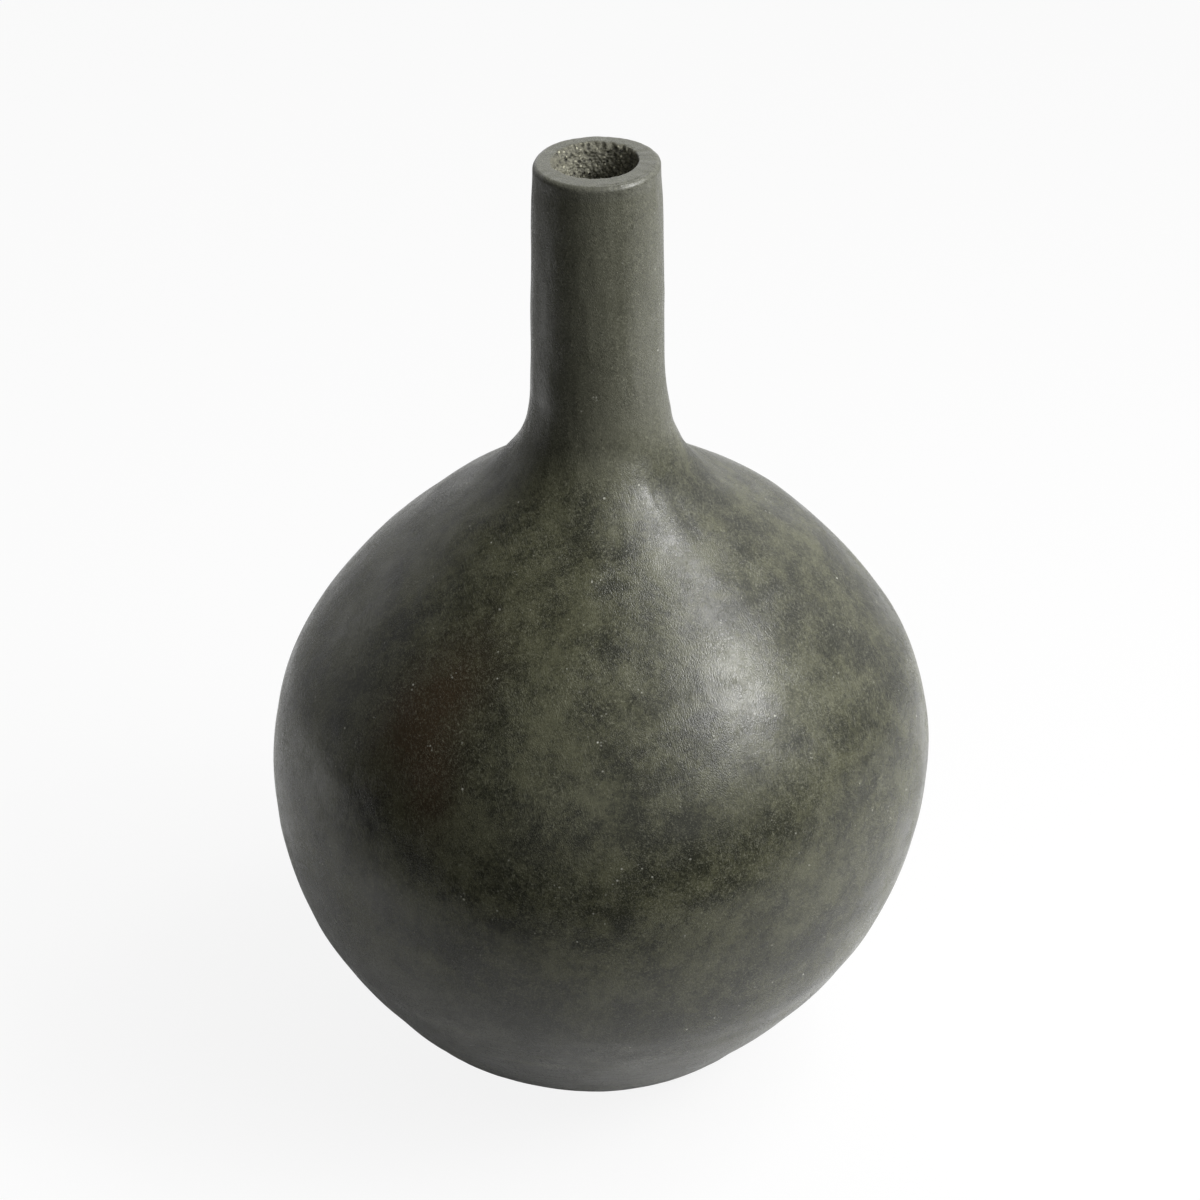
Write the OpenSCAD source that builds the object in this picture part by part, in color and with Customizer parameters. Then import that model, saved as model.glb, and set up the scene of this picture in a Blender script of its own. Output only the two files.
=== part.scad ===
// A round bottle vase in pigmented plaster. Two cast half shells meet in a lapped joint at
// the widest point, a cast neck stands in the collar of the upper half, and a polished
// coat covers the outside from the foot to the lip. The bore and the hollow stay bare.
// Lengths are in millimetres. The origin is on the table, under the middle of the vase.

/* [Body] */
// Width of the globe at its widest, over the polished coat
belly_d = 300; // [270:1:330]
// Height of the widest point above the foot
belly_h = 155; // [145:1:165]
// Width of the flat foot, before its edge is rounded
foot_d = 117; // [105:1:130]
// Radius of the rounded edge of the foot
foot_edge_r = 4; // [3:0.5:8]
// Radius of the turn just above the widest point
turn_r = 105; // [90:1:120]
// Angle through which that turn runs before the shoulder flattens
turn_angle = 32; // [25:1:38]
// Radius of the long shoulder curve
shoulder_r = 233; // [200:1:280]

/* [Neck] */
// Height from the foot to the rim
vase_h = 445; // [420:1:490]
// Width of the neck just above the cove
neck_root_d = 60; // [56:1:66]
// Width of the neck just below the rim
neck_top_d = 56; // [52:1:60]
// Radius of the hollow curve where the neck meets the shoulder
cove_r = 63; // [45:1:75]
// Radius of the rounded outer edge of the rim
rim_edge_r = 2.5; // [1:0.25:4]
// Radius of the small edge round the mouth
lip_edge_r = 0.8; // [0.4:0.1:1.5]
// Width of the mouth at the rim
mouth_d = 37; // [35:0.5:40]
// Width of the straight bore below the mouth
bore_d = 31; // [26:0.5:33]
// Depth over which the mouth narrows to the bore
funnel_h = 9; // [5:0.5:16]

/* [Walls] */
// Thickness of the polished coat
coat_t = 2.5; // [1.5:0.25:3.5]
// Thickness of the cast shells
wall_t = 10; // [8:0.5:14]
// Thickness of the cast floor
base_t = 14; // [10:0.5:22]

/* [Joints] */
// Height of the tongue of the lower shell, in the lapped joint
lap_h = 10; // [6:0.5:16]
// Thickness of the bonding plaster in both joints
bond_t = 1.5; // [1:0.25:2.5]
// Width of the spigot of the neck, inside the collar
spigot_d = 46; // [42:0.5:48]
// Width of the jute band behind the lapped joint
scrim_w = 50; // [30:1:70]
// Thickness of the jute band
scrim_t = 2; // [1:0.25:3]

/* [Pads] */
// Number of felt pads under the foot
pad_count = 4; // [3:1:6]
// Width of a felt pad
pad_d = 18; // [12:1:24]
// Thickness of a felt pad
pad_t = 2; // [1:0.25:4]
// Distance from the edge of the cast foot to a pad
pad_inset = 4; // [2:0.5:10]

/* [Hidden] */
$fn = 180;
// Largest angle between two points of an arc
arc_step = 3;
half_turn = 180;
full_turn = 360;

COAT_COLOUR = [0.29, 0.30, 0.26];
CAST_COLOUR = [0.41, 0.42, 0.37];
BOND_COLOUR = [0.52, 0.53, 0.48];
JUTE_COLOUR = [0.62, 0.52, 0.36];
FELT_COLOUR = [0.16, 0.16, 0.16];

// Radii of the plain sizes
belly_r = belly_d / 2;
foot_r = foot_d / 2;
root_r = neck_root_d / 2;
top_r = neck_top_d / 2;
mouth_r = mouth_d / 2;
bore_r = bore_d / 2;
spigot_r = spigot_d / 2;
pad_r = pad_d / 2;

// Heights above the table
foot_z = pad_t;
belly_z = foot_z + belly_h;
rim_z = foot_z + vase_h;

// How far each surface lies inside the polished one
CORE = coat_t;
CAVITY = coat_t + wall_t;
BAND = CAVITY + scrim_t;

// The lower curve: one arc from the foot to the widest point, with its centre level with that point
lower_x = (belly_r * belly_r - foot_r * foot_r - belly_h * belly_h) / (2 * (belly_r - foot_r));
lower_r = belly_r - lower_x;

// The turn and the shoulder: two arcs that share a tangent at the end of the turn
turn_x = belly_r - turn_r;
shoulder_x = turn_x + (turn_r - shoulder_r) * cos(turn_angle);
shoulder_z = belly_z + (turn_r - shoulder_r) * sin(turn_angle);

// The cove: a hollow arc tangent to the shoulder and to the neck
cove_x = root_r + cove_r;
cove_z = shoulder_z + sqrt(pow(shoulder_r + cove_r, 2) - pow(cove_x - shoulder_x, 2));
cove_angle = atan2(cove_z - shoulder_z, cove_x - shoulder_x);

// The rounded edge of the foot: an arc tangent to the lower curve and to the foot
foot_edge_x = lower_x + sqrt(pow(lower_r - foot_edge_r, 2) - pow(belly_h - foot_edge_r, 2));
foot_edge_angle = -asin((belly_h - foot_edge_r) / (lower_r - foot_edge_r));

// Points of an arc, from one angle to another, both ends included
function arc(x, z, r, from, to) =
    let (steps = max(1, ceil(abs(to - from) / arc_step)))
    [for (i = [0 : steps])
        let (a = from + (to - from) * i / steps)
        [x + r * cos(a), z + r * sin(a)]];

// The curves of the globe, at a depth inside the polished surface
function lower_arc(depth, from, to) = arc(lower_x, belly_z, lower_r - depth, from, to);
function turn_arc(depth, from, to) = arc(turn_x, belly_z, turn_r - depth, from, to);
function shoulder_arc(depth, from, to) =
    arc(shoulder_x, shoulder_z, shoulder_r - depth, from, to);
function cove_arc(depth) =
    arc(cove_x, cove_z, cove_r + depth, cove_angle - half_turn, -half_turn);

// Where those curves reach a height, or a distance from the middle, as angles
function lower_angle_at(depth, z) = asin((z - belly_z) / (lower_r - depth));
function turn_angle_at(depth, z) = asin((z - belly_z) / (turn_r - depth));
function shoulder_angle_at(depth, x) = acos((x - shoulder_x) / (shoulder_r - depth));
function shoulder_height_at(depth, x) =
    shoulder_z + (shoulder_r - depth) * sin(shoulder_angle_at(depth, x));

// The same list from its far end
function back(points) = [for (i = [len(points) - 1 : -1 : 0]) points[i]];

// The lapped joint: the wall is split halfway through its thickness
lap_x = belly_r - CORE - wall_t / 2;
tongue_x = lap_x - bond_t / 2;
skirt_x = lap_x + bond_t / 2;
skirt_z = belly_z + bond_t;
tongue_z = belly_z + lap_h;
ledge_z = tongue_z + bond_t;
scrim_low_z = belly_z - scrim_w / 2;
scrim_high_z = belly_z + scrim_w / 2;

// The neck joint: a seat cut level on the dome, as wide as the cast neck
neck_x = root_r - CORE;
neck_top_x = top_r - CORE;
collar_x = spigot_r + bond_t;
seat_z = shoulder_height_at(CORE, neck_x);
neck_z = seat_z + bond_t;
spigot_z = shoulder_height_at(CAVITY, collar_x);

// The top of the cast neck, under the coat
cast_rim_z = rim_z - coat_t;
bore_top_z = cast_rim_z - funnel_h;

// The floor and the cast foot
floor_z = foot_z + base_t;
cast_foot_x = lower_x + sqrt(pow(lower_r - CORE, 2) - pow(belly_h, 2));
pad_ring_r = cast_foot_x - pad_inset - pad_r;

// Stretches of the cast surface, split where one piece ends and the next begins
core_lower = lower_arc(CORE, lower_angle_at(CORE, foot_z), 0);
core_bond = turn_arc(CORE, 0, turn_angle_at(CORE, skirt_z));
core_turn = turn_arc(CORE, turn_angle_at(CORE, skirt_z), turn_angle);
core_shoulder = shoulder_arc(CORE, turn_angle, cove_angle);
core_under_cove = shoulder_arc(CORE, cove_angle, shoulder_angle_at(CORE, neck_x));
core_cove = cove_arc(CORE);

// Stretches of the wall of the hollow, split in the same way
wall_floor = lower_arc(CAVITY, lower_angle_at(CAVITY, floor_z), lower_angle_at(CAVITY, scrim_low_z));
wall_low_band = lower_arc(CAVITY, lower_angle_at(CAVITY, scrim_low_z), 0);
wall_tongue = turn_arc(CAVITY, 0, turn_angle_at(CAVITY, tongue_z));
wall_bond = turn_arc(CAVITY, turn_angle_at(CAVITY, tongue_z), turn_angle_at(CAVITY, ledge_z));
wall_high_band = turn_arc(CAVITY, turn_angle_at(CAVITY, ledge_z), turn_angle_at(CAVITY, scrim_high_z));
wall_turn = turn_arc(CAVITY, turn_angle_at(CAVITY, scrim_high_z), turn_angle);
wall_dome = shoulder_arc(CAVITY, turn_angle, shoulder_angle_at(CAVITY, collar_x));

// The cast bowl, with its flat foot, its floor and the tongue of the lapped joint
module lower_shell() {
    color(CAST_COLOUR)
    rotate_extrude()
    polygon(concat(
        [[0, foot_z]],
        core_lower,
        [[tongue_x, belly_z], [tongue_x, tongue_z]],
        back(wall_tongue),
        back(wall_low_band),
        back(wall_floor),
        [[0, floor_z]]
    ));
}

// The cast dome, with the skirt of the lapped joint and the collar for the neck
module upper_shell() {
    color(CAST_COLOUR)
    rotate_extrude()
    polygon(concat(
        core_turn,
        core_shoulder,
        core_under_cove,
        [[collar_x, seat_z]],
        back(wall_dome),
        back(wall_turn),
        back(wall_high_band),
        [[skirt_x, ledge_z], [skirt_x, skirt_z]]
    ));
}

// The bonding plaster that fills the step between the two shells
module seam_bond() {
    color(BOND_COLOUR)
    rotate_extrude()
    polygon(concat(
        core_bond,
        [[skirt_x, skirt_z], [skirt_x, ledge_z]],
        back(wall_bond),
        [[tongue_x, tongue_z], [tongue_x, belly_z]]
    ));
}

// The band of jute scrim laid in wet plaster behind the joint
module seam_scrim() {
    color(JUTE_COLOUR)
    rotate_extrude()
    polygon(concat(
        wall_low_band,
        wall_tongue,
        wall_bond,
        wall_high_band,
        back(turn_arc(BAND, 0, turn_angle_at(BAND, scrim_high_z))),
        back(lower_arc(BAND, lower_angle_at(BAND, scrim_low_z), 0))
    ));
}

// The cast neck, with its spigot, its straight bore and the flare under the mouth
module neck_tube() {
    color(CAST_COLOUR)
    rotate_extrude()
    polygon([
        [bore_r, spigot_z],
        [spigot_r, spigot_z],
        [spigot_r, neck_z],
        [neck_x, neck_z],
        [neck_x, cove_z],
        [neck_top_x, cast_rim_z],
        [mouth_r, cast_rim_z],
        [bore_r, bore_top_z]
    ]);
}

// The plaster that beds the neck in its collar and is drawn out into the cove
module neck_cove() {
    color(BOND_COLOUR)
    rotate_extrude()
    polygon(concat(
        [[spigot_r, spigot_z], [collar_x, spigot_z], [collar_x, seat_z]],
        back(core_under_cove),
        core_cove,
        [[neck_x, neck_z], [spigot_r, neck_z]]
    ));
}

// The polished coat, from the edge of the foot up over the rim to the edge of the mouth
module finish_coat() {
    color(COAT_COLOUR)
    rotate_extrude()
    polygon(concat(
        arc(foot_edge_x, foot_z + foot_edge_r, foot_edge_r, -half_turn / 2, foot_edge_angle),
        lower_arc(0, foot_edge_angle, 0),
        turn_arc(0, 0, turn_angle),
        shoulder_arc(0, turn_angle, cove_angle),
        cove_arc(0),
        arc(top_r - rim_edge_r, rim_z - rim_edge_r, rim_edge_r, 0, half_turn / 2),
        arc(mouth_r + lip_edge_r, rim_z - lip_edge_r, lip_edge_r, half_turn / 2, half_turn),
        [[mouth_r, cast_rim_z], [neck_top_x, cast_rim_z]],
        back(core_cove),
        back(core_shoulder),
        back(core_turn),
        back(core_bond),
        back(core_lower)
    ));
}

// The self-adhesive felt pads, in a ring under the foot
module felt_pads() {
    color(FELT_COLOUR)
    for (i = [0 : pad_count - 1])
        rotate((i + 0.5) * full_turn / pad_count)
        translate([pad_ring_r, 0, 0])
        cylinder(r = pad_r, h = pad_t);
}

lower_shell();
upper_shell();
seam_bond();
seam_scrim();
neck_tube();
neck_cove();
finish_coat();
felt_pads();
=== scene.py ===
# %% [markdown]
# # A round bottle vase in dark polished plaster
#
# The vase is built up in layers. Two thin cast shells make a hollow globe, a cast neck
# stands in a collar on top, and a thin coat of pigmented plaster is pressed and polished
# over everything. The coat stops at the mouth, where the coarse cast plaster shows bare.
#
# This lesson rebuilds each layer as a smooth mesh worked out with numpy, bends them all by
# one gentle field so that they look made by hand, and gives each a procedural finish.

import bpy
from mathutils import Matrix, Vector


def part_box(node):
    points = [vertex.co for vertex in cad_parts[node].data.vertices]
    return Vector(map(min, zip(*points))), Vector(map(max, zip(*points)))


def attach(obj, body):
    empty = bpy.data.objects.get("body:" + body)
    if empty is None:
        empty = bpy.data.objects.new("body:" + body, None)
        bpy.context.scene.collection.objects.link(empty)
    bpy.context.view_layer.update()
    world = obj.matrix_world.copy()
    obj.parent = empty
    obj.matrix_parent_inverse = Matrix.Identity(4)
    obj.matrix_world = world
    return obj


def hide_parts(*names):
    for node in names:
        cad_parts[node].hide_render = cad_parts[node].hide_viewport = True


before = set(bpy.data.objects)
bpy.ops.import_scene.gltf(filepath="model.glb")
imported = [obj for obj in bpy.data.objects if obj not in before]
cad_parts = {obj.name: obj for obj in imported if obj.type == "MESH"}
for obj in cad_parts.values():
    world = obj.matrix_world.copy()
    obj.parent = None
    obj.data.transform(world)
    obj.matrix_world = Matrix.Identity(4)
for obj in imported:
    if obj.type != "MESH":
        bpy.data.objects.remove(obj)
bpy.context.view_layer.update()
print("CAD nodes:", ", ".join(sorted(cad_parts)))

# %% Libraries and units
import math

import bmesh
import bpy
import mathutils
import numpy as np

MM = 0.001
FULL_TURN = 2 * math.pi

# %% [markdown]
# ## The sizes
#
# The frame says where the foot and the rim are. The curves between them are a few arcs that
# run smoothly into each other: one below the widest point, two above it, and a hollow cove
# that leads into the neck. A drawn curve could follow the outline too, but arcs keep it as
# smooth as a template would. Their radii are the driving sizes of the vase.

# %% Driving sizes
FOOT_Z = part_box("felt_pads")[1].z
RIM_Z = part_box("finish_coat")[1].z
BELLY_R = 150 * MM
BELLY_Z = FOOT_Z + 155 * MM
FOOT_R = 58.5 * MM
FOOT_EDGE_R = 4 * MM
TURN_R = 105 * MM
TURN_ANGLE = math.radians(32)
SHOULDER_R = 233 * MM
COVE_R = 63 * MM
NECK_ROOT_R = 30 * MM
NECK_TOP_R = 28 * MM
RIM_EDGE_R = 2.5 * MM
LIP_EDGE_R = 0.8 * MM
MOUTH_R = 18.5 * MM
BORE_R = 15.5 * MM
FUNNEL_H = 9 * MM
print(f"foot at {FOOT_Z / MM:.1f} mm, rim at {RIM_Z / MM:.1f} mm")

# %% Thicknesses of the layers and the joints
COAT_T = 2.5 * MM
WALL_T = 10 * MM
BASE_T = 14 * MM
LAP_H = 10 * MM
BOND_T = 1.5 * MM
SPIGOT_R = 23 * MM
SCRIM_W = 50 * MM
SCRIM_T = 2 * MM
CAVITY = COAT_T + WALL_T

# %% Centres of the arcs
LOWER_X = (BELLY_R**2 - FOOT_R**2 - (BELLY_Z - FOOT_Z) ** 2) / (2 * (BELLY_R - FOOT_R))
LOWER_R = BELLY_R - LOWER_X
TURN_X = BELLY_R - TURN_R
SHOULDER_X = TURN_X + (TURN_R - SHOULDER_R) * math.cos(TURN_ANGLE)
SHOULDER_Z = BELLY_Z + (TURN_R - SHOULDER_R) * math.sin(TURN_ANGLE)
COVE_X = NECK_ROOT_R + COVE_R
COVE_Z = SHOULDER_Z + math.sqrt((SHOULDER_R + COVE_R) ** 2 - (COVE_X - SHOULDER_X) ** 2)
COVE_ANGLE = math.atan2(COVE_Z - SHOULDER_Z, COVE_X - SHOULDER_X)
print(f"lower arc radius {LOWER_R / MM:.1f} mm, cove starts at {math.degrees(COVE_ANGLE):.1f} degrees")

# %% [markdown]
# ## Profiles made of arcs
#
# A profile is a list of points (distance from the middle, height). Every layer could have a
# drawing of its own, but here it follows the same arcs at its own depth inside the polished
# surface, so the layers fit each other. The step sets how close the points lie: small where
# the photograph is looked at closely.

# %% Arcs and chains of points
def arc(x, z, r, start, stop, step):
    """Points (x + r cos a, z + r sin a), with a running from start to stop and at most step apart."""
    count = max(2, math.ceil(abs(stop - start) * r / step) + 1)
    a = np.linspace(start, stop, count)
    return np.stack([x + r * np.cos(a), z + r * np.sin(a)], axis=1)


def line(start, stop, step):
    """Points of a straight line from start to stop, at most step apart."""
    start, stop = np.array(start, float), np.array(stop, float)
    count = max(2, math.ceil(np.linalg.norm(stop - start) / step) + 1)
    return start + np.linspace(0, 1, count)[:, None] * (stop - start)


def chain(*stretches):
    """Joins stretches end to end and drops every point that repeats the one before it."""
    points = np.concatenate(stretches)
    apart = np.linalg.norm(np.diff(points, axis=0), axis=1) > 1e-7
    return points[np.concatenate([[True], apart])]


# %% The stretches of the globe, at a depth inside the polished surface
def lower_arc(depth, low, high, step):
    """The arc below the widest point, between two heights: angle = asin((z - belly) / radius)."""
    r = LOWER_R - depth
    return arc(LOWER_X, BELLY_Z, r, math.asin((low - BELLY_Z) / r), math.asin((high - BELLY_Z) / r), step)


def turn_arc(depth, low, high, step):
    """The arc just above the widest point, between two heights, or up to its end if high is None."""
    r = TURN_R - depth
    stop = TURN_ANGLE if high is None else math.asin((high - BELLY_Z) / r)
    return arc(TURN_X, BELLY_Z, r, math.asin((low - BELLY_Z) / r), stop, step)


def shoulder_arc(depth, start, stop, step):
    """The long arc of the shoulder, between two angles."""
    return arc(SHOULDER_X, SHOULDER_Z, SHOULDER_R - depth, start, stop, step)


def shoulder_angle(depth, x):
    """The angle at which the shoulder is x away from the middle: acos((x - centre) / radius)."""
    return math.acos((x - SHOULDER_X) / (SHOULDER_R - depth))


def cove_arc(depth, step):
    """The hollow arc from the shoulder up to the neck, whose centre lies outside the vase."""
    return arc(COVE_X, COVE_Z, COVE_R + depth, COVE_ANGLE - math.pi, -math.pi, step)


# %% [markdown]
# ## Made by hand
#
# The photograph shows a vase that isn't quite true: its middle wanders from side to side by a
# few millimetres, it is flattened low down and kicks out at the foot, and its surface has
# soft swells. Sculpting could do that to one mesh. Here a single field moves every point of
# every layer instead, so that nothing comes apart.

# %% How the middle wanders, the outline swells and the rim leans, with the height above the foot
WANDER_H = np.array([0, 12, 20, 28, 42, 63, 95, 118, 135, 173, 213, 235, 258]) * MM
WANDER = np.array([-2.4, -3.2, -5.2, -4.9, -3.8, -2.8, -1.9, -1.4, -0.7, 0.7, 1.6, 2.1, 1.4]) * MM
NECK_WANDER_H = np.array([258, 283, 298, 312, 325, 350, 375, 445]) * MM
NECK_WANDER = np.array([1.4, -2.5, -2.0, -0.6, -0.3, -1.0, -1.2, -1.4]) * MM
SWELL_H = np.array([0, 14, 28, 42, 63, 80, 110, 150, 175, 210, 258]) * MM
SWELL = np.array([1, 0.2, -1.2, -1.7, -0.7, 0.3, 0.1, -0.2, -0.6, 0, 0.1]) * MM
NECK_SWELL_H = np.array([258, 282, 300, 315, 328, 352, 385, 425, 440]) * MM
NECK_SWELL = np.array([0.1, -1.0, -0.4, -0.4, 0.4, -0.5, 0, 0.4, -0.2]) * MM
TILT_H = np.array([0, 235, 268, 345, 445]) * MM
TILT = np.array([0, 0, 0.02, 0.02, 0.02])
RIGHT_SWELL = 0.8 * MM
RIGHT_H = (140 * MM, 280 * MM)
FADE_R = 40 * MM


def smooth_step(x, low, high):
    """0 below low, 1 above high, and 3 t t - 2 t t t between them, with t the share of the way."""
    t = np.clip((x - low) / (high - low), 0, 1)
    return t * t * (3 - 2 * t)


def eased(h, heights, values):
    """Runs through the values at the given heights with a smooth step between each pair, and keeps
    the first value below them and the last one above."""
    i = np.clip(np.searchsorted(heights, h) - 1, 0, len(heights) - 2)
    return values[i] + (values[i + 1] - values[i]) * smooth_step(h, heights[i], heights[i + 1])


# %% Soft swells in the surface
def swells(turn, h, seed=11, count=26, size=0.55 * MM):
    """A sum of slow waves, size / waves^0.7 * cos(around * turn + up * h + phase). One to six whole
    waves go around the vase, so that it closes on itself, and up to six go up it, or down."""
    rng = np.random.default_rng(seed)
    around = rng.integers(1, 7, count)[:, None]
    up = (rng.uniform(-6, 6, count) * FULL_TURN / (RIM_Z - FOOT_Z))[:, None]
    phase = rng.uniform(0, FULL_TURN, count)[:, None]
    waves = around + np.abs(up) / FULL_TURN * (RIM_Z - FOOT_Z)
    return (size / waves**0.7 * np.cos(around * turn + up * h + phase)).sum(0) / math.sqrt(count / 2)


def hand_made(points):
    """Moves points (n, 3): outwards by the swells, sideways by the wander, and up by tilt * x. The
    right of the globe swells a little more. All swells fade towards the axis, so that the foot
    stays closed."""
    x, y, z = points.T
    r = np.hypot(x, y)
    turn = np.arctan2(y, x)
    h = z - FOOT_Z
    fade = np.clip(r / FADE_R, 0, 1)
    right = RIGHT_SWELL * np.clip(np.cos(turn), 0, 1) ** 2 * (1 - smooth_step(h, *RIGHT_H))
    on_neck = h > NECK_WANDER_H[0]
    swell = np.where(on_neck, eased(h, NECK_SWELL_H, NECK_SWELL), eased(h, SWELL_H, SWELL))
    wander = np.where(on_neck, eased(h, NECK_WANDER_H, NECK_WANDER), eased(h, WANDER_H, WANDER))
    scale = 1 + (swell + swells(turn, h) + right) * fade / np.maximum(r, MM)
    return np.stack([x * scale + wander, y * scale, z + eased(h, TILT_H, TILT) * x], axis=1)


# %% [markdown]
# ## Turning a profile into a mesh
#
# A turned piece is a grid: one way runs along the profile and the other round the axis. The
# Screw modifier turns a profile too, but a grid that is worked out here can have small lumps,
# pushed out along the profile's normals. The profile is a closed outline that runs
# anticlockwise, up the outside and down the inside, so every face points outwards.

# %% From a profile to a grid
def grid(profile, columns):
    """For every profile point and every turn: the turn and the distance along the profile."""
    turn = np.arange(columns) * FULL_TURN / columns
    steps = np.linalg.norm(np.diff(profile, axis=0), axis=1)
    along = np.concatenate([[0], np.cumsum(steps)])
    return np.meshgrid(along, turn, indexing="ij")[::-1]


def turned(profile, columns, push=0.0):
    """Points (r cos t, r sin t, z) for every profile point (r, z) and turn t, each pushed out along
    the profile's normal (dz, -dr), and the quads between them, which close both ways."""
    turn, along = grid(profile, columns)
    tangent = np.roll(profile, -1, axis=0) - np.roll(profile, 1, axis=0)
    normal = np.stack([tangent[:, 1], -tangent[:, 0]], axis=1)
    normal /= np.maximum(np.linalg.norm(normal, axis=1, keepdims=True), 1e-9)
    r = profile[:, :1] + normal[:, :1] * push
    z = profile[:, 1:] + normal[:, 1:] * push + 0 * turn
    points = np.stack([r * np.cos(turn), r * np.sin(turn), z], axis=2).reshape(-1, 3)
    i, j = np.meshgrid(np.arange(len(profile)), np.arange(columns), indexing="ij")
    i2, j2 = (i + 1) % len(profile), (j + 1) % columns
    quads = np.stack([i * columns + j, i * columns + j2, i2 * columns + j2, i2 * columns + j], axis=2)
    return points, quads.reshape(-1, 4)


def lumps(turn, along, around, cell, seed):
    """Soft lumps from -1 to 1: random values at the corners of a lattice, blended by smooth steps.
    The lattice has a whole number of cells around the vase, and cells of one length along it."""
    u = turn / FULL_TURN * around
    v = (along - along.min()) / cell
    table = np.random.default_rng(seed).uniform(-1, 1, (around, int(v.max()) + 2))
    i, j = np.floor(u).astype(int), np.floor(v).astype(int)
    fu, fv = smooth_step(u - i, 0, 1), smooth_step(v - j, 0, 1)
    near = table[i % around, j] * (1 - fu) + table[(i + 1) % around, j] * fu
    far = table[i % around, j + 1] * (1 - fu) + table[(i + 1) % around, j + 1] * fu
    return near * (1 - fv) + far * fv


def all_lumps(turn, along, layers):
    """Adds up layers of lumps: each is a height, cells around, the length of a cell and a seed."""
    return sum(height * lumps(turn, along, *layer) for height, *layer in layers)


def bearing_of(turn):
    """The bearing of a turn: turns start at the right, and bearings at the camera's side."""
    return turn + math.pi / 2


# %% From a grid to an object
def to_object(name, points, quads, touches_axis=False):
    """Puts points and quads into a new smooth mesh, and merges the points that meet on the axis."""
    mesh = bpy.data.meshes.new(name)
    mesh.from_pydata(points, [], quads.tolist())
    if touches_axis:
        work = bmesh.new()
        work.from_mesh(mesh)
        bmesh.ops.remove_doubles(work, verts=work.verts, dist=1e-6)
        work.to_mesh(mesh)
        work.free()
    mesh.polygons.foreach_set("use_smooth", np.ones(len(mesh.polygons), bool))
    mesh.update()
    piece = bpy.data.objects.new(name, mesh)
    bpy.context.scene.collection.objects.link(piece)
    print(f"{name}: {len(mesh.vertices)} points, {len(mesh.polygons)} faces")
    return piece


def paint(piece, name, values):
    """Stores one number for each point of the piece, for a material to read."""
    attribute = piece.data.attributes.new(name, "FLOAT", "POINT")
    attribute.data.foreach_set("value", np.ascontiguousarray(values, np.float32).ravel())
    print(f"{piece.name}: {name} from {values.min():.2f} to {values.max():.2f}")


def miss(node, profile):
    """Largest difference in mm between a profile's reach and heights and its CAD node's box."""
    low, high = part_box(node)
    gaps = [profile[:, 0].max() - high.x, profile[:, 1].max() - high.z, profile[:, 1].min() - low.z]
    return max(abs(g) for g in gaps) / MM


# %% [markdown]
# ## The polished coat
#
# The coat is the piece that is looked at: a thin skin of plaster, pressed on and polished. Its
# outside runs from the rounded edge of the foot up over the rim and down into the mouth. The
# Solidify modifier could give it a thickness, but its edges at the foot and the mouth are
# flat, so both sides are in the profile. The inside is hidden, so its points lie far apart.

# %% The profile of the coat
CAST_RIM_Z = RIM_Z - COAT_T
NECK_X = NECK_ROOT_R - COAT_T
NECK_TOP_X = NECK_TOP_R - COAT_T
SEAT_Z = SHOULDER_Z + (SHOULDER_R - COAT_T) * math.sin(shoulder_angle(COAT_T, NECK_X))
FOOT_EDGE_X = LOWER_X + math.sqrt((LOWER_R - FOOT_EDGE_R) ** 2 - (BELLY_Z - FOOT_Z - FOOT_EDGE_R) ** 2)
FOOT_EDGE_ANGLE = -math.asin((BELLY_Z - FOOT_Z - FOOT_EDGE_R) / (LOWER_R - FOOT_EDGE_R))
SEEN = 2.4 * MM
HIDDEN = 9 * MM

coat_outside = chain(
    arc(FOOT_EDGE_X, FOOT_Z + FOOT_EDGE_R, FOOT_EDGE_R, -math.pi / 2, FOOT_EDGE_ANGLE, 0.5 * MM),
    arc(LOWER_X, BELLY_Z, LOWER_R, FOOT_EDGE_ANGLE, 0, SEEN),
    turn_arc(0, BELLY_Z, None, SEEN),
    shoulder_arc(0, TURN_ANGLE, COVE_ANGLE, SEEN),
    cove_arc(0, 1.6 * MM),
    line((NECK_ROOT_R, COVE_Z), (NECK_TOP_R, RIM_Z - RIM_EDGE_R), 2.6 * MM),
    arc(NECK_TOP_R - RIM_EDGE_R, RIM_Z - RIM_EDGE_R, RIM_EDGE_R, 0, math.pi / 2, 0.35 * MM),
    line((NECK_TOP_R - RIM_EDGE_R, RIM_Z), (MOUTH_R + LIP_EDGE_R, RIM_Z), 0.45 * MM),
    arc(MOUTH_R + LIP_EDGE_R, RIM_Z - LIP_EDGE_R, LIP_EDGE_R, math.pi / 2, math.pi, 0.16 * MM),
    line((MOUTH_R, RIM_Z - LIP_EDGE_R), (MOUTH_R, CAST_RIM_Z), 0.3 * MM),
)
coat_inside = chain(
    line((NECK_TOP_X, CAST_RIM_Z), (NECK_X, COVE_Z), HIDDEN),
    cove_arc(COAT_T, HIDDEN)[::-1],
    shoulder_arc(COAT_T, TURN_ANGLE, COVE_ANGLE, HIDDEN)[::-1],
    turn_arc(COAT_T, BELLY_Z, None, HIDDEN)[::-1],
    lower_arc(COAT_T, FOOT_Z, BELLY_Z, HIDDEN)[::-1],
)
print(f"coat profile: {len(coat_outside)} points outside, {len(coat_inside)} inside")

# %% [markdown]
# ## The mouth
#
# At the front and right the coat ends in a crisp lip. At the left and back it has worn away:
# there the lip is low and ragged, and coarse plaster shows through. The hole lies a little
# behind the middle of the rim, and the trowel left a fine step on the rim at the front right.
# A material alone would keep the edge round and crisp, so the points of the lip are moved. The
# bearing of a place is measured from the side that faces the camera, and grows to the right.

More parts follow.
